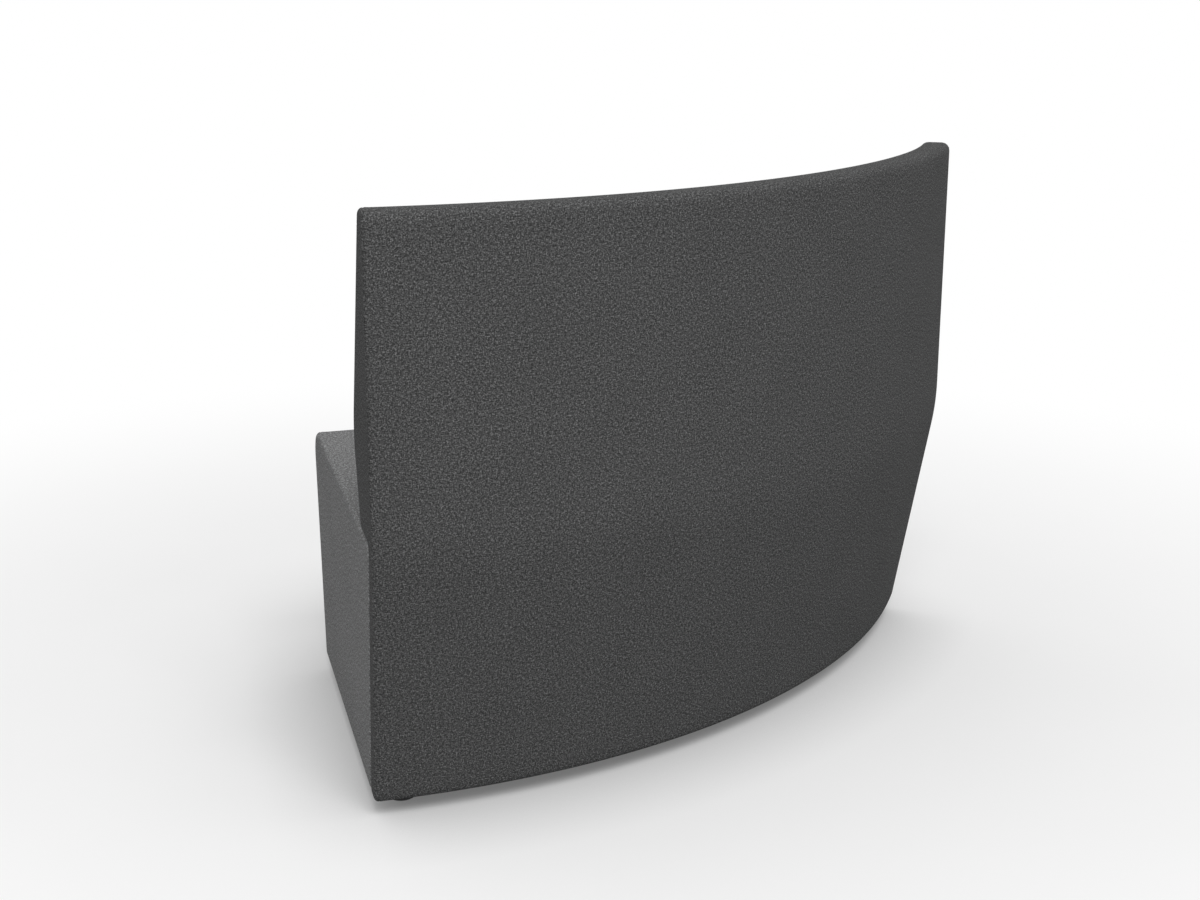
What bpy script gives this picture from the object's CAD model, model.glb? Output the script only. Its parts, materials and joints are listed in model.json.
# Looks of the curved modular sofa: two upholstered units in woven cloth, the stapled sheet
# under the seat, levelling feet, and finishes for the timber and steel inside.
import json
import math

import bmesh
import bpy
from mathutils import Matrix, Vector
from mathutils.geometry import delaunay_2d_cdt


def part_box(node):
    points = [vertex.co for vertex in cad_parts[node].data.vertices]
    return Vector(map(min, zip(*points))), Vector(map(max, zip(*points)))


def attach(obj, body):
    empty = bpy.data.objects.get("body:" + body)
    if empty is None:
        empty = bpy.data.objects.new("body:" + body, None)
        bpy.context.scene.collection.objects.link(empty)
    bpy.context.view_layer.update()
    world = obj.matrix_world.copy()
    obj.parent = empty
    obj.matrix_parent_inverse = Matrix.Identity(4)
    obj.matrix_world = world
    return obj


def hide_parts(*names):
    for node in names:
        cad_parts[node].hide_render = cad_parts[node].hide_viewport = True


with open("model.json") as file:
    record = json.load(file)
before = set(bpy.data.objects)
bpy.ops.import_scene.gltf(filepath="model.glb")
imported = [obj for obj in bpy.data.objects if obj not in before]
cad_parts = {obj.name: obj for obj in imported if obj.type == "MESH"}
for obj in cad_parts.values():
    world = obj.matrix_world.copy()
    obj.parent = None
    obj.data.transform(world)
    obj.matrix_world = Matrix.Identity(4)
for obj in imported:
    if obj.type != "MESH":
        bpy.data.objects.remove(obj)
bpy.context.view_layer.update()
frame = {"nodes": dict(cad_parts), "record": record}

# Outline of the sofa in metres, heights measured from the floor
half_angle = math.radians(30.0)
axis_y = -0.974542
base = 0.025
seat_base = 0.0254
seat_top = 0.449
overall_top = 0.945
wedge_front = 1.255
end_rounding = 0.008

# Upholstery details
seam_depth = 0.0013
seam_crest = 0.0005
seam_half_width = 0.0024
end_seam_share = 0.5
seat_crown = 0.006
back_crown = 0.007
swell_ramp = 0.11
swell_steps = 20
front_swell = (0.05, 0.375)
lean_swell = (0.47, 0.90)
station_step = 0.011
arc_step = 0.006
cap_rows = (0.0088, 0.0103)

# Cloth: pitch of the weave in metres, repeats to the metre, and share of each in the shade
weave_pitch = 0.0021
flecks = 480.0
patches = 9.0
fine_slub = 700.0
long_slub = 180.0
fleck_gain = 1.7
slub_gain = 0.8
tuft_gain = 0.8
patch_gain = 0.08
weave_gain = 0.14
glint_power = 2.1
dark_share = 0.42
relief_depth = 0.0012

# Sheet under the seat
sheet_level = 0.0239
sheet_thickness = 0.0008
sheet_front = 0.7039
sheet_rear = 1.2715
sheet_margin = 0.014
sheet_hole = 0.0113
hole_sides = 24
border_step = 0.012
staple_pitch = 0.038
staple_length = 0.010
staple_wire = 0.0005
staple_inset = 0.006

# Levelling stems
boss_radius = 0.0067
collar_flats = 0.013
collar_low = 0.0191
collar_top = 0.0247
thread_radius = 0.004
thread_depth = 0.0007
thread_pitch = 0.00125
rings_per_turn = 8
crisp_edge = math.radians(38.0)

# Studio
sky_strength = 0.66
softbox_direction = (0.20, 0.34, 0.50)
softbox_distance = 9.0
softbox_size = 4.5
softbox_power = 385.0
floor_tone = 0.90
floor_bounce = 0.42
fade_start = 0.6
fade_end = 2.6
floor_glow = 0.14
contact_reach = 0.18
contact_tone = 0.55
floor_reach = 40.0
camera_place = (2.1937, 2.1946, 1.2737)
camera_turns = (74.740, -0.116, 135.044)
camera_lens = 53.67

# Sockets of a Mix node that take and give colours
first_colour, second_colour, mixed_colour = 6, 7, 2


class Wire:
    """An output of a shader node that sums and products can be written with."""

    def __init__(self, socket):
        self.socket = socket

    def math(self, operation, first, second=0.0):
        tree = self.socket.id_data
        node = tree.nodes.new("ShaderNodeMath")
        node.operation = operation
        join(node.inputs[0], first)
        join(node.inputs[1], second)
        return Wire(node.outputs[0])

    def __add__(self, other):
        return self.math("ADD", self, other)

    __radd__ = __add__

    def __sub__(self, other):
        return self.math("SUBTRACT", self, other)

    def __rsub__(self, other):
        return self.math("SUBTRACT", other, self)

    def __mul__(self, other):
        return self.math("MULTIPLY", self, other)

    __rmul__ = __mul__

    def __pow__(self, other):
        return self.math("POWER", self, other)

    def sine(self):
        return self.math("SINE", self)


def join(socket, value):
    """Gives a socket a link or a plain value."""
    if isinstance(value, Wire):
        socket.id_data.links.new(value.socket, socket)
    else:
        socket.default_value = value


class Nodes:
    """A shader tree whose nodes are added one by one."""

    def __init__(self, tree):
        self.tree = tree

    def node(self, kind, settings=None, sockets=None, output=0):
        """Adds a node of any kind: its settings first, then values or links of its sockets."""
        made = self.tree.nodes.new(kind)
        for name, value in (settings or {}).items():
            setattr(made, name, value)
        for name, value in (sockets or {}).items():
            join(made.inputs[name], value)
        return Wire(made.outputs[output])

    def noise(self, place, scale, detail=2.0, stretch=(1, 1, 1)):
        spread = self.node("ShaderNodeMapping", {}, {"Vector": place, "Scale": stretch})
        sockets = {"Vector": spread, "Scale": scale, "Detail": detail}
        return self.node("ShaderNodeTexNoise", {}, sockets)

    def blend(self, share, first, second):
        """Mix of two colours."""
        settings = {"data_type": "RGBA", "clamp_factor": True}
        sockets = {"Factor": share, first_colour: first, second_colour: second}
        return self.node("ShaderNodeMix", settings, sockets, mixed_colour)

    def seen_directly(self):
        """One for rays from the camera and for mirrored or clear ones, none for diffuse light."""
        kinds = ("Camera", "Glossy", "Transmission")
        straight, mirrored, clear = [
            self.node("ShaderNodeLightPath", {}, {}, "Is %s Ray" % kind) for kind in kinds]
        return straight.math("MAXIMUM", straight.math("MAXIMUM", straight, mirrored), clear)


class Finish(Nodes):
    """A material built up on its own shader."""

    def __init__(self, name, **constants):
        self.material = bpy.data.materials.new(name)
        self.material.use_nodes = True
        super().__init__(self.material.node_tree)
        self.shader = self.tree.nodes["Principled BSDF"]
        for socket, value in constants.items():
            self.shader.inputs[socket.replace("_", " ")].default_value = value

    def feed(self, socket, value):
        join(self.shader.inputs[socket], value)

    def bump(self, height, distance, strength=1.0):
        sockets = {"Height": height, "Distance": distance, "Strength": strength}
        self.feed("Normal", self.node("ShaderNodeBump", {}, sockets))


def grey(level, warmth=0.0):
    return (level * (1 + warmth), level, level * (1 - warmth), 1.0)


def woven_cloth(name, level, contrast, tufts):
    """Plain-woven melange cloth, laid out in metres on the piece's own map."""
    cloth = Finish(name, Roughness=0.92, Specular_IOR_Level=0.02)
    place = cloth.node("ShaderNodeUVMap", {"uv_map": "cloth"})
    across = cloth.node("ShaderNodeSeparateXYZ", {}, {"Vector": place}, "X")
    along = cloth.node("ShaderNodeSeparateXYZ", {}, {"Vector": place}, "Y")
    warp = (across * (2 * math.pi / weave_pitch)).sine()
    weft = (along * (2 * math.pi / weave_pitch)).sine()
    over = warp * weft
    fleck = cloth.noise(place, flecks, 1.0)
    slub_warp = cloth.noise(place, 1.0, 1.0, (fine_slub, long_slub, 1.0))
    slub_weft = cloth.noise(place, 1.0, 1.0, (long_slub, fine_slub, 1.0))
    tuft = cloth.noise(place, tufts, 1.0)
    cloud = cloth.noise(place, patches, 2.0)
    shade = 0.47 + (fleck - 0.5) * fleck_gain
    shade = shade + (slub_warp - 0.5) * slub_gain + (slub_weft - 0.5) * slub_gain
    shade = shade + (tuft - 0.5) * tuft_gain + (cloud - 0.5) * patch_gain + over * weave_gain
    glint = shade.math("MAXIMUM", shade, 0.0) ** glint_power
    dark = grey(level * dark_share, -0.006)
    light = grey(level * (dark_share + contrast), -0.004)
    cloth.feed("Base Color", cloth.blend(glint, dark, light))
    cloth.feed("Roughness", 0.86 + (fleck - 0.5) * 0.12)
    relief = over * 0.12 + slub_warp * 0.4 + slub_weft * 0.4 + fleck + tuft
    cloth.bump(relief, relief_depth)
    return cloth.material


def pressed_felt(name):
    """Thin black non-woven sheet with its embossed dots."""
    felt = Finish(name, Roughness=0.95)
    place = felt.node("ShaderNodeTexCoord", {}, {}, "Object")
    fibre = felt.noise(place, 900.0, 3.0)
    dots = felt.node("ShaderNodeTexVoronoi", {}, {"Vector": place, "Scale": 420.0})
    felt.feed("Base Color", felt.blend(fibre, grey(0.018), grey(0.05)))
    felt.bump(fibre * 0.4 + dots, 0.0003, 0.6)
    return felt.material


def birch_ply(name):
    """Rotary-cut birch with long pale figure."""
    ply = Finish(name, Roughness=0.6)
    place = ply.node("ShaderNodeTexCoord", {}, {}, "Object")
    figure = ply.noise(place, 1.0, 4.0, (6.0, 6.0, 60.0))
    pores = ply.noise(place, 1.0, 2.0, (40.0, 40.0, 900.0))
    tone = figure * 0.75 + pores * 0.35
    ply.feed("Base Color", ply.blend(tone, (0.36, 0.24, 0.13, 1), (0.72, 0.56, 0.36, 1)))
    ply.feed("Roughness", 0.5 + pores * 0.25)
    ply.bump(pores, 0.0002, 0.4)
    return ply.material


def zinc_plate(name):
    """Bright zinc on steel with faint cloudy dulling."""
    zinc = Finish(name, Metallic=1.0, Roughness=0.35)
    place = zinc.node("ShaderNodeTexCoord", {}, {}, "Object")
    cloud = zinc.noise(place, 120.0, 3.0)
    fine = zinc.noise(place, 1500.0, 2.0)
    zinc.feed("Base Color", zinc.blend(cloud, (0.48, 0.49, 0.5, 1), (0.68, 0.68, 0.66, 1)))
    zinc.feed("Roughness", 0.26 + cloud * 0.2 + fine * 0.08)
    zinc.bump(fine, 0.00005, 0.3)
    return zinc.material


def moulded_nylon(name):
    """Black moulded nylon with a fine spark-eroded grain and scuffed patches."""
    nylon = Finish(name, Roughness=0.5)
    place = nylon.node("ShaderNodeTexCoord", {}, {}, "Object")
    grain = nylon.noise(place, 1800.0, 2.0)
    scuff = nylon.noise(place, 90.0, 4.0)
    nylon.feed("Base Color", nylon.blend(scuff, grey(0.009), grey(0.022)))
    nylon.feed("Roughness", 0.42 + scuff * 0.2 + grain * 0.08)
    nylon.bump(grain, 0.00008, 0.5)
    return nylon.material


def outline(corners):
    """Closed profile through (radius, height, rounding, step, seams) corners.

    The step and the seams, given as distances from the corner, belong to the run that follows it.
    Gives points as (radius, height, outward radius, outward height, run)."""
    count = len(corners)
    places = [Vector((corner[0], corner[1])) for corner in corners]
    heads = [(places[(i + 1) % count] - places[i]).normalized() for i in range(count)]
    cuts = []
    for i in range(count):
        turn = heads[i - 1].angle_signed(heads[i]) * -1
        cuts.append((turn, corners[i][2] * math.tan(abs(turn) / 2)))
    points = []
    for i, (radius, height, rounding, step, seams) in enumerate(corners):
        turn, cut = cuts[i]
        before = heads[i - 1]
        normal = Vector((before.y, -before.x))
        side = math.copysign(1.0, turn)
        centre = places[i] - before * cut - normal * (rounding * side)
        pieces = max(3, math.ceil(abs(turn) * rounding / arc_step))
        for k in range(pieces + 1):
            angle = turn * k / pieces
            out = Vector((normal.x * math.cos(angle) - normal.y * math.sin(angle),
                          normal.x * math.sin(angle) + normal.y * math.cos(angle)))
            spot = centre + out * (rounding * side)
            points.append((spot.x, spot.y, out.x, out.y, i - 1 if k * 2 < pieces else i))
        along = heads[i]
        out = Vector((along.y, -along.x))
        start = cut
        stop = (places[(i + 1) % count] - places[i]).length - cuts[(i + 1) % count][1]
        for place, lift in run_places(start, stop, step, seams):
            spot = places[i] + along * place + out * lift
            points.append((spot.x, spot.y, out.x, out.y, i))
    return points


def run_places(start, stop, step, seams):
    """Places along a straight run, with the furrow of each seam, as (distance, lift)."""
    furrow = [(-3.0, 0.0), (-1.0, seam_crest), (-0.4, -0.2 * seam_depth), (0.0, -seam_depth)]
    furrow += [(-place, lift) for place, lift in furrow[-2::-1]]
    marks = []
    for seam in seams:
        marks += [(seam + place * seam_half_width, lift) for place, lift in furrow]
    limits = [start] + [mark for mark, lift in marks] + [stop]
    found = []
    for low, high in zip(limits, limits[1:]):
        pieces = max(1, round((high - low) / step))
        lift = dict(marks).get(low)
        if lift is not None:
            found.append((low, lift))
        found += [(low + (high - low) * k / pieces, 0.0) for k in range(1, pieces)]
    return found


def end_stations():
    """Steps from the swept surface over a rounded end, as (distance from end, depth)."""
    crest = seam_crest * end_seam_share
    furrow = -seam_depth * end_seam_share
    stations = []
    for away, lift in ((14.0, 0.0), (8.0, 0.0), (3.0, 0.0), (1.0, crest), (0.4, furrow * 0.2)):
        stations.append((end_rounding + away * seam_half_width, -lift))
    turns = ((0, furrow), (7, furrow * 0.2), (18, crest), (40, 0.0))
    turns += tuple((degrees, 0.0) for degrees in (55, 70, 80, 90))
    for degrees, lift in turns:
        reach = end_rounding + lift
        turn = math.radians(degrees)
        inset = end_rounding - reach * math.sin(turn)
        stations.append((inset, end_rounding - reach * math.cos(turn)))
    return stations + [(0.0, depth) for depth in cap_rows]


def sweep(name, corners, flat_run, material):
    """Upholstered unit: a profile swept round the axis, with seamed and rounded ends.

    Gives the piece, the profile's points, and how freely each may swell between the ends, as
    {(point of the profile, vertex): share}. The flat run's cloth is cut flat, not round the axis."""
    points = outline(corners)
    ends = end_stations()
    first_inset = ends[0][0]
    widest = max(point[0] for point in points)
    count = 2 * math.ceil(half_angle * widest / station_step / 2)
    rows = [("left", inset, depth) for inset, depth in reversed(ends)]
    rows += [("middle", 2 * k / count - 1, 0.0) for k in range(1, count)]
    rows += [("right", inset, depth) for inset, depth in ends]
    lengths = [0.0]
    for here, after in zip(points, points[1:] + points[:1]):
        lengths.append(lengths[-1] + math.hypot(after[0] - here[0], after[1] - here[1]))
    flat_start = next((k for k, point in enumerate(points) if point[4] == flat_run), 0)
    mesh = bmesh.new()
    cloth = mesh.loops.layers.uv.new("cloth")
    grid = []
    maps = []
    for kind, value, depth in rows:
        line = []
        spread = []
        for k, (radius, height, out_r, out_z, run) in enumerate(points):
            radius -= depth * out_r
            height -= depth * out_z
            if kind == "middle":
                angle = value * (half_angle - math.asin(first_inset / radius))
            else:
                angle = half_angle - math.asin(value / radius)
                angle = -angle if kind == "left" else angle
            place = (radius * math.sin(angle), axis_y + radius * math.cos(angle), height)
            line.append(mesh.verts.new(place))
            spread.append((angle, radius, height))
        grid.append(line)
        maps.append(spread)
    total = len(points)
    for row in range(len(rows) - 1):
        on_cap = max(rows[row][2], rows[row + 1][2]) >= end_rounding * 0.99
        for k in range(total):
            after = (k + 1) % total
            corner_ids = ((row, k), (row + 1, k), (row + 1, after), (row, after))
            face = mesh.faces.new([grid[r][c] for r, c in corner_ids])
            face.smooth = True
            run = points[k][4] if points[k][4] == points[after][4] else points[after][4]
            for loop, (r, c) in zip(face.loops, corner_ids):
                angle, radius, height = maps[r][c]
                length = lengths[k + 1] if c == after else lengths[k]
                if on_cap:
                    loop[cloth].uv = (radius, height)
                elif run == flat_run:
                    reach = points[flat_start][0] - (length - lengths[flat_start])
                    loop[cloth].uv = (reach * math.sin(angle), reach * math.cos(angle))
                else:
                    loop[cloth].uv = (angle * points[k][0], length)
    for row in (0, len(rows) - 1):
        face = mesh.faces.new(grid[row])
        for loop, (angle, radius, height) in zip(face.loops, maps[row]):
            loop[cloth].uv = (radius, height)
    bmesh.ops.recalc_face_normals(mesh, faces=mesh.faces)
    data = bpy.data.meshes.new(name)
    mesh.to_mesh(data)
    mesh.free()
    data.materials.append(material)
    made = bpy.data.objects.new(name, data)
    bpy.context.scene.collection.objects.link(made)
    give = {}
    for row in range(len(ends), len(rows) - len(ends)):
        away = min(row - len(ends), len(rows) - len(ends) - 1 - row) + 1
        share = min(1.0, away * station_step / swell_ramp)
        for k in range(total):
            give[k, row * total + k] = share * share * (3 - 2 * share)
    return made, points, give


def plump(piece, give, loose, crown):
    """Cloth under pressure where the profile is loose, held to a crown times each point's share."""
    shares = {index: share for (k, index), share in give.items() if k in loose}
    work = piece.copy()
    work.data = piece.data.copy()
    bpy.context.scene.collection.objects.link(work)
    held = work.vertex_groups.new(name="held")
    held.add([v.index for v in work.data.vertices if v.index not in shares], 1.0, "REPLACE")
    cloth = work.modifiers.new("cloth", "CLOTH")
    cloth.settings.quality = 5
    cloth.settings.mass = 0.4
    cloth.settings.tension_stiffness = 40
    cloth.settings.compression_stiffness = 40
    cloth.settings.bending_stiffness = 6
    cloth.settings.use_pressure = True
    cloth.settings.uniform_pressure_force = 4.0
    cloth.settings.vertex_group_mass = "held"
    cloth.settings.effector_weights.gravity = 0.0
    cloth.collision_settings.use_collision = False
    cloth.point_cache.frame_start = 1
    cloth.point_cache.frame_end = swell_steps
    scene = bpy.context.scene
    for step in range(1, swell_steps + 1):
        scene.frame_set(step)
    swollen = work.evaluated_get(bpy.context.evaluated_depsgraph_get()).data
    for vertex, moved in zip(piece.data.vertices, swollen.vertices):
        shift = moved.co - vertex.co
        if shift.length > 1e-7:
            swell = crown * shares[vertex.index] * math.tanh(shift.length / crown)
            vertex.co += shift.normalized() * swell
    bpy.data.objects.remove(work)
    scene.frame_set(1)


def seat_upholstery(material):
    """Grey seat unit: flat top, soft nose and raked front."""
    corners = [
        (1.28548, seat_base, 0.012, 0.045, ()),
        (1.35542, seat_top, 0.020, 0.013, ()),
        (0.622, seat_top, 0.050, 0.013, (0.068,)),
        (0.68991, seat_base, 0.012, 0.040, ()),
    ]
    piece, points, give = sweep("seat_upholstery", corners, 1, material)
    loose = set()
    for k, (radius, height, out_r, out_z, run) in enumerate(points):
        on_top = out_z > 0.6 and height > 0.4 and radius < wedge_front
        on_front = out_r < -0.9 and front_swell[0] < height < front_swell[1]
        if on_top or on_front:
            loose.add(k)
    plump(piece, give, loose, seat_crown)
    return piece


def back_upholstery(material):
    """Charcoal back unit: taut raked outside and a padded wedge to lean on."""
    corners = [
        (1.32998, base, 0.012, 0.013, ()),
        (1.400, 0.439, 0.500, 0.013, ()),
        (1.400, overall_top, 0.015, 0.010, ()),
        (1.350, overall_top, 0.015, 0.012, (0.024,)),
        (1.218, 0.589, 0.115, 0.012, ()),
        (1.274, 0.4495, 0.016, 0.020, ()),
        (1.356, 0.4495, 0.012, 0.045, ()),
        (1.28598, base, 0.012, 0.012, ()),
    ]
    piece, points, give = sweep("back_upholstery", corners, None, material)
    loose = set()
    for k, (radius, height, out_r, out_z, run) in enumerate(points):
        if out_r < -0.5 and lean_swell[0] < height < lean_swell[1]:
            loose.add(k)
    plump(piece, give, loose, back_crown)
    return piece


def turned(name, rings, place, material):
    """Solid stacked from (radius, height) rings about an upright axis, where a radius may
    depend on the direction."""
    sides = 48
    turns = [2 * math.pi * k / sides for k in range(sides)]
    mesh = bmesh.new()
    rows = []
    for radius, height in rings:
        row = []
        for turn in turns:
            reach = radius(turn) if callable(radius) else radius
            spot = (place.x + reach * math.cos(turn), place.y + reach * math.sin(turn), height)
            row.append(mesh.verts.new(spot))
        rows.append(row)
    for low, high in zip(rows, rows[1:]):
        for k in range(sides):
            after = (k + 1) % sides
            mesh.faces.new((low[k], low[after], high[after], high[k])).smooth = True
    mesh.faces.new(rows[0][::-1])
    mesh.faces.new(rows[-1])
    bmesh.ops.recalc_face_normals(mesh, faces=mesh.faces)
    data = bpy.data.meshes.new(name)
    mesh.to_mesh(data)
    mesh.free()
    data.set_sharp_from_angle(angle=crisp_edge)
    data.materials.append(material)
    made = bpy.data.objects.new(name, data)
    bpy.context.scene.collection.objects.link(made)
    return made


def foot_pad(node, material):
    """Moulded pad with softened edges and a shallow socket for the stem's foot."""
    low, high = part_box(node)
    place = (low + high) / 2
    reach = (high.x - low.x) / 2
    top = high.z
    rings = [(reach - 0.0075, 0.0), (reach - 0.0050, 0.0008), (reach - 0.0020, 0.0028)]
    rings += [(reach, 0.0052), (reach - 0.0003, top - 0.0046), (reach - 0.0012, top - 0.0036)]
    rings += [(0.0150, top - 0.0008), (0.0138, top - 0.0002), (0.0125, top)]
    rings += [(0.0078, top), (0.0071, top - 0.0005), (0.0070, top - 0.0060)]
    return turned(node.replace("foot_pad", "glide"), rings, place, material)


def hexagon_reach(flats):
    """Reach of a hexagon across its flats, by direction, with a corner along X."""
    return lambda turn: flats / 2 / math.cos((turn + 1e-9) % (math.pi / 3) - math.pi / 6)


def thread_reach(height):
    """Reach of the stem's screw thread at a height, by direction."""
    def reach(turn):
        share = (height / thread_pitch - turn / (2 * math.pi)) % 1.0
        flank = min(1.0, max(0.0, 2.6 * abs(share - 0.5) - 0.15))
        return thread_radius - thread_depth * flank
    return reach


def levelling_stem(node, material):
    """Stem with a round foot, a hexagon collar for a spanner and a rolled thread."""
    low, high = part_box(node)
    place = (low + high) / 2
    bevel = 0.0005
    collar = hexagon_reach(collar_flats)
    eased = hexagon_reach(collar_flats - 2 * bevel)
    root = thread_radius - thread_depth
    rings = [(boss_radius - bevel, low.z), (boss_radius, low.z + bevel)]
    rings += [(boss_radius, collar_low - 0.0001), (eased, collar_low), (collar, collar_low + bevel)]
    rings += [(collar, collar_top - bevel), (eased, collar_top), (root, collar_top)]
    steps = round((high.z - collar_top) / thread_pitch * rings_per_turn)
    for k in range(1, steps):
        height = collar_top + (high.z - collar_top) * k / steps
        rings.append((thread_reach(height), height))
    rings.append((root, high.z))
    return turned(node.replace("foot_stem", "levelling_stem"), rings, place, material)


def sheet_border(inset):
    """Closed outline of the sheet under the seat, a distance in from its cut edge."""
    points = []
    inner = sheet_front + inset
    outer = sheet_rear - inset
    for radius, sense in ((outer, 1), (inner, -1)):
        reach = half_angle - math.asin((sheet_margin + inset) / radius)
        pieces = math.ceil(2 * reach * radius / border_step)
        for k in range(pieces + 1):
            angle = sense * reach * (2 * k / pieces - 1)
            spot = (radius * math.sin(angle), axis_y + radius * math.cos(angle), 0.0)
            points.append(Vector(spot))
    return points


def dust_sheet(material):
    """Sheet stretched over the underside, with a hole for every insert."""
    border = sheet_border(0.0)
    holes = []
    for node in ("foot_inserts", "link_inserts"):
        holes += insert_places(node)
    loops = [border]
    turns = [2 * math.pi * k / hole_sides for k in range(hole_sides)]
    for spot in holes:
        loops.append([spot + Vector((math.cos(t), math.sin(t), 0)) * sheet_hole for t in turns])
    flat = []
    edges = []
    for loop in loops:
        first = len(flat)
        flat += [point.xy for point in loop]
        edges += [(first + k, first + (k + 1) % len(loop)) for k in range(len(loop))]
    cut = delaunay_2d_cdt(flat, edges, [], 1, 1e-6)
    spots, faces = cut[0], cut[2]
    mesh = bmesh.new()
    verts = [mesh.verts.new((spot.x, spot.y, sheet_level)) for spot in spots]
    for face in faces:
        middle = sum((spots[k] for k in face), Vector((0.0, 0.0))) / len(face)
        if all((middle - spot.xy).length > sheet_hole * 0.985 for spot in holes):
            mesh.faces.new([verts[k] for k in face[::-1]])
    spare = [vert for vert in mesh.verts if not vert.link_faces]
    bmesh.ops.delete(mesh, geom=spare, context="VERTS")
    area = sum(face.calc_area() for face in mesh.faces)
    data = bpy.data.meshes.new("dust_sheet")
    mesh.to_mesh(data)
    mesh.free()
    data.materials.append(material)
    made = bpy.data.objects.new("dust_sheet", data)
    bpy.context.scene.collection.objects.link(made)
    thick = made.modifiers.new("thickness", "SOLIDIFY")
    thick.thickness = sheet_thickness
    thick.offset = -1.0
    return made, area


def insert_places(node):
    """Middle in plan of every separate insert in a CAD node."""
    mesh = bmesh.new()
    mesh.from_mesh(frame["nodes"][node].data)
    bmesh.ops.remove_doubles(mesh, verts=mesh.verts, dist=1e-6)
    seen = set()
    places = []
    for start in mesh.verts:
        if start in seen:
            continue
        group = [start]
        seen.add(start)
        for vert in group:
            for edge in vert.link_edges:
                other = edge.other_vert(vert)
                if other not in seen:
                    seen.add(other)
                    group.append(other)
        xs = [vert.co.x for vert in group]
        ys = [vert.co.y for vert in group]
        places.append(Vector(((min(xs) + max(xs)) / 2, (min(ys) + max(ys)) / 2, 0)))
    mesh.free()
    return places


def staple_tree(material):
    """Node tree that lays wire staples along a path at an even pitch."""
    tree = bpy.data.node_groups.new("staple_row", "GeometryNodeTree")
    ports = tree.interface
    ports.new_socket("Path", in_out="INPUT", socket_type="NodeSocketGeometry")
    for label, value in (("Pitch", staple_pitch), ("Length", staple_length), ("Wire", staple_wire)):
        port = ports.new_socket(label, in_out="INPUT", socket_type="NodeSocketFloat")
        port.default_value = value
    ports.new_socket("Staples", in_out="OUTPUT", socket_type="NodeSocketGeometry")
    kinds = {
        "in": "NodeGroupInput",
        "curve": "GeometryNodeMeshToCurve",
        "spaced": "GeometryNodeResampleCurve",
        "half": "ShaderNodeMath",
        "minus": "ShaderNodeMath",
        "far": "ShaderNodeCombineXYZ",
        "near": "ShaderNodeCombineXYZ",
        "crown": "GeometryNodeCurvePrimitiveLine",
        "round": "GeometryNodeCurvePrimitiveCircle",
        "wire": "GeometryNodeCurveToMesh",
        "tangent": "GeometryNodeInputTangent",
        "turn": "FunctionNodeAlignRotationToVector",
        "set": "GeometryNodeInstanceOnPoints",
        "real": "GeometryNodeRealizeInstances",
        "finish": "GeometryNodeSetMaterial",
        "out": "NodeGroupOutput",
    }
    nodes = {label: tree.nodes.new(kind) for label, kind in kinds.items()}
    nodes["spaced"].mode = "LENGTH"
    nodes["half"].operation = "MULTIPLY"
    nodes["half"].inputs[1].default_value = 0.5
    nodes["minus"].operation = "MULTIPLY"
    nodes["minus"].inputs[1].default_value = -0.5
    nodes["round"].inputs["Resolution"].default_value = 8
    nodes["wire"].inputs["Fill Caps"].default_value = True
    nodes["turn"].axis = "X"
    nodes["finish"].inputs["Material"].default_value = material
    links = [
        ("in", "Path", "curve", "Mesh"),
        ("curve", "Curve", "spaced", "Curve"),
        ("in", "Pitch", "spaced", "Length"),
        ("in", "Length", "half", 0),
        ("in", "Length", "minus", 0),
        ("half", 0, "far", "X"),
        ("minus", 0, "near", "X"),
        ("near", 0, "crown", "Start"),
        ("far", 0, "crown", "End"),
        ("in", "Wire", "round", "Radius"),
        ("crown", 0, "wire", "Curve"),
        ("round", 0, "wire", "Profile Curve"),
        ("tangent", 0, "turn", "Vector"),
        ("spaced", 0, "set", "Points"),
        ("wire", 0, "set", "Instance"),
        ("turn", 0, "set", "Rotation"),
        ("set", 0, "real", "Geometry"),
        ("real", 0, "finish", "Geometry"),
        ("finish", 0, "out", "Staples"),
    ]
    for source, outlet, target, inlet in links:
        tree.links.new(nodes[source].outputs[outlet], nodes[target].inputs[inlet])
    return tree


def staples(material):
    """Staples round the edge of the sheet under the seat, left out beside the inserts."""
    border = sheet_border(staple_inset)
    level = sheet_level - sheet_thickness * 0.2
    room = sheet_hole + staple_length
    inserts = insert_places("foot_inserts")
    clear = [all((point - spot).length > room for spot in inserts) for point in border]
    count = len(border)
    runs = [(k, (k + 1) % count) for k in range(count) if clear[k] and clear[(k + 1) % count]]
    data = bpy.data.meshes.new("sheet_staples")
    data.from_pydata([(point.x, point.y, level) for point in border], runs, [])
    path = bpy.data.objects.new("sheet_staples", data)
    bpy.context.scene.collection.objects.link(path)
    row = path.modifiers.new("staple_row", "NODES")
    row.node_group = staple_tree(material)
    graph = bpy.context.evaluated_depsgraph_get()
    solid = bpy.data.meshes.new_from_object(path.evaluated_get(graph))
    path.modifiers.remove(row)
    path.data = solid
    return path


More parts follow.
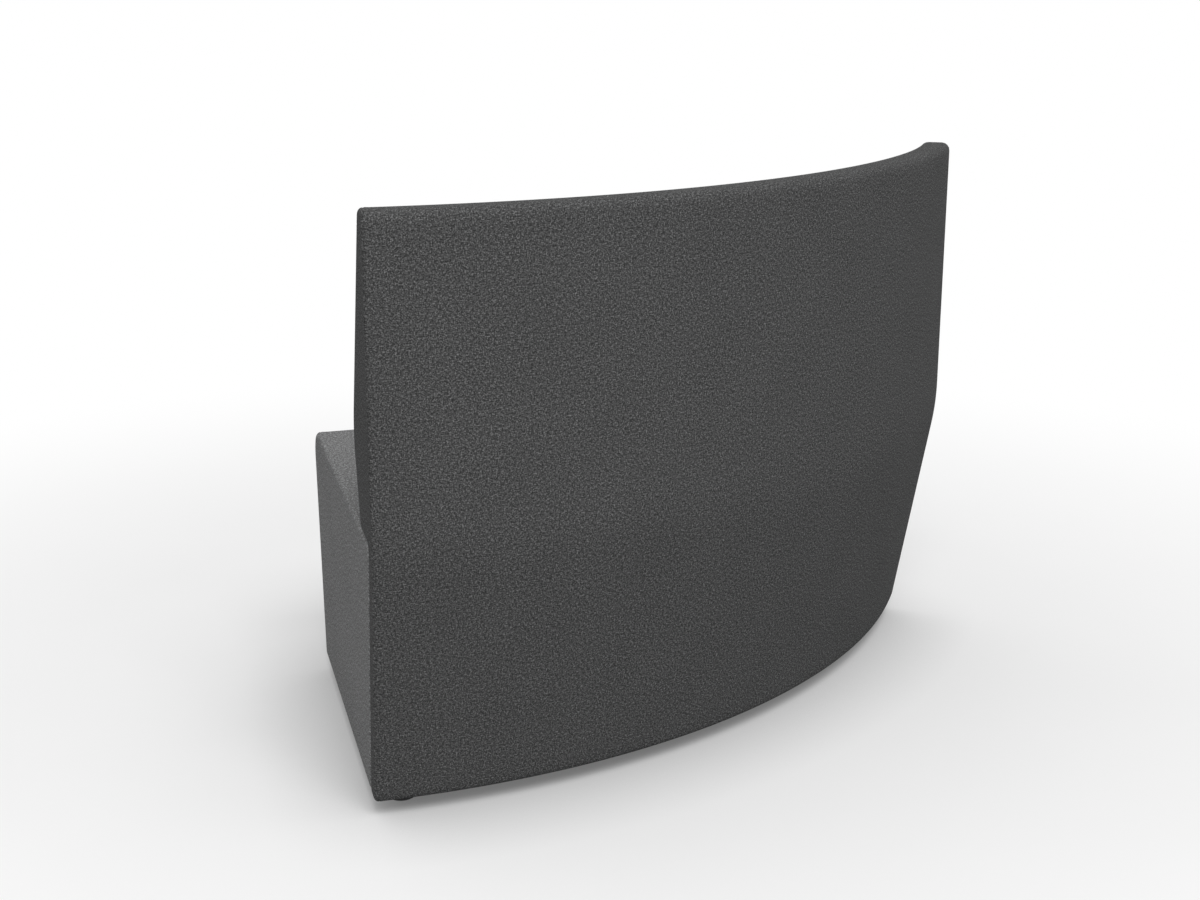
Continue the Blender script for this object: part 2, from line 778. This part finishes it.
def floor_paint():
    """Pale matt floor that fades to white far from the sofa and is clear from below."""
    paint = Finish("floor_paint", Roughness=0.9, Specular_IOR_Level=0.0)
    place = paint.node("ShaderNodeTexCoord", {}, {}, "Object")
    mottle = paint.noise(place, 3.0, 2.0)
    pale = paint.blend(mottle, grey(floor_tone - 0.01), grey(floor_tone + 0.01))
    reach = {"Distance": contact_reach}
    openness = paint.node("ShaderNodeAmbientOcclusion", {"samples": 6}, reach, "AO")
    pale = paint.blend(openness, grey(floor_tone * contact_tone), pale)
    seen = paint.seen_directly()
    paint.feed("Base Color", paint.blend(seen, grey(floor_bounce), pale))
    distance = paint.node("ShaderNodeVectorMath", {"operation": "LENGTH"}, {0: place}, "Value")
    limits = {"Value": distance, "From Min": fade_start, "From Max": fade_end}
    far = paint.node("ShaderNodeMapRange", {"interpolation_type": "SMOOTHSTEP"}, limits)
    lift = far.math("MAXIMUM", far, floor_glow)
    glow = paint.node("ShaderNodeEmission", {}, {"Color": (1, 1, 1, 1), "Strength": 1.0})
    matt = Wire(paint.shader.outputs[0])
    faded = paint.node("ShaderNodeMixShader", {}, {0: lift * seen, 1: matt, 2: glow})
    below = paint.node("ShaderNodeNewGeometry", {}, {}, "Backfacing")
    clear = paint.node("ShaderNodeBsdfTransparent")
    both = paint.node("ShaderNodeMixShader", {}, {0: below, 1: faded, 2: clear})
    join(paint.tree.nodes["Material Output"].inputs[0], both)
    return paint.material


def studio():
    """Pale floor that fades to white, one soft light high on the camera's side, and the camera."""
    scene = bpy.context.scene
    scene.view_settings.view_transform = "Standard"
    floor_mesh = bpy.data.meshes.new("floor")
    signs = ((-1, -1), (1, -1), (1, 1), (-1, 1))
    corners = [(floor_reach * x, floor_reach * y, 0) for x, y in signs]
    floor_mesh.from_pydata(corners, [], [(0, 1, 2, 3)])
    floor = bpy.data.objects.new("floor", floor_mesh)
    scene.collection.objects.link(floor)
    floor_mesh.materials.append(floor_paint())
    world = bpy.data.worlds.new("studio_white")
    scene.world = world
    world.use_nodes = True
    sky = Nodes(world.node_tree)
    white = (1, 1, 1, 1)
    dim = sky.node("ShaderNodeBackground", {}, {"Color": white, "Strength": sky_strength})
    plain = sky.node("ShaderNodeBackground", {}, {"Color": white, "Strength": 1.0})
    mixed = sky.node("ShaderNodeMixShader", {}, {0: sky.seen_directly(), 1: dim, 2: plain})
    join(sky.tree.nodes["World Output"].inputs[0], mixed)
    lamp = bpy.data.lights.new("softbox", "AREA")
    lamp.shape = "SQUARE"
    lamp.size = softbox_size
    lamp.energy = softbox_power
    softbox = bpy.data.objects.new("softbox", lamp)
    aim = Vector(softbox_direction).normalized()
    softbox.location = aim * softbox_distance
    softbox.rotation_euler = aim.to_track_quat("Z", "Y").to_euler()
    scene.collection.objects.link(softbox)
    lens = bpy.data.cameras.new("camera")
    lens.sensor_width = 36.0
    lens.lens = camera_lens
    camera = bpy.data.objects.new("camera", lens)
    camera.location = camera_place
    camera.rotation_euler = [math.radians(turn) for turn in camera_turns]
    scene.collection.objects.link(camera)
    scene.camera = camera


studio()
seat_cloth = woven_cloth("grey_melange_cloth", level=0.258, contrast=1.6, tufts=190.0)
back_cloth = woven_cloth("charcoal_melange_cloth", level=0.0945, contrast=2.05, tufts=250.0)
felt = pressed_felt("black_non_woven")
ply = birch_ply("birch_plywood")
zinc = zinc_plate("zinc_plated_steel")
nylon = moulded_nylon("black_nylon")

seat = seat_upholstery(seat_cloth)
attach(seat, "sofa")
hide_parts("seat_cover", "seat_foam", "seat_front_padding",
            "seat_end_padding_left", "seat_end_padding_right")

back = back_upholstery(back_cloth)
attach(back, "sofa")
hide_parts("back_cover", "back_foam", "back_outer_padding",
            "back_end_padding_left", "back_end_padding_right")

sheet, sheet_area = dust_sheet(felt)
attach(sheet, "sofa")
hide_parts("dust_cover")

hem_staples = staples(zinc)
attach(hem_staples, "sofa")

finishes = {"plywood": ply, "zinc_steel": zinc, "foot_plastic": nylon, "foam": felt,
            "seat_fabric": seat_cloth, "back_fabric": back_cloth, "dust_sheet": felt}
for piece in frame["record"]["subparts"]:
    node = frame["nodes"][piece["node"]]
    node.data.materials.clear()
    node.data.materials.append(finishes[piece["material_slot"]])
    if piece["node"].startswith("foot_pad"):
        glide = foot_pad(piece["node"], nylon)
        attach(glide, piece["node"])
        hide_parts(piece["node"])
    if piece["node"].startswith("foot_stem"):
        stem = levelling_stem(piece["node"], zinc)
        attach(stem, piece["node"])
        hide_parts(piece["node"])
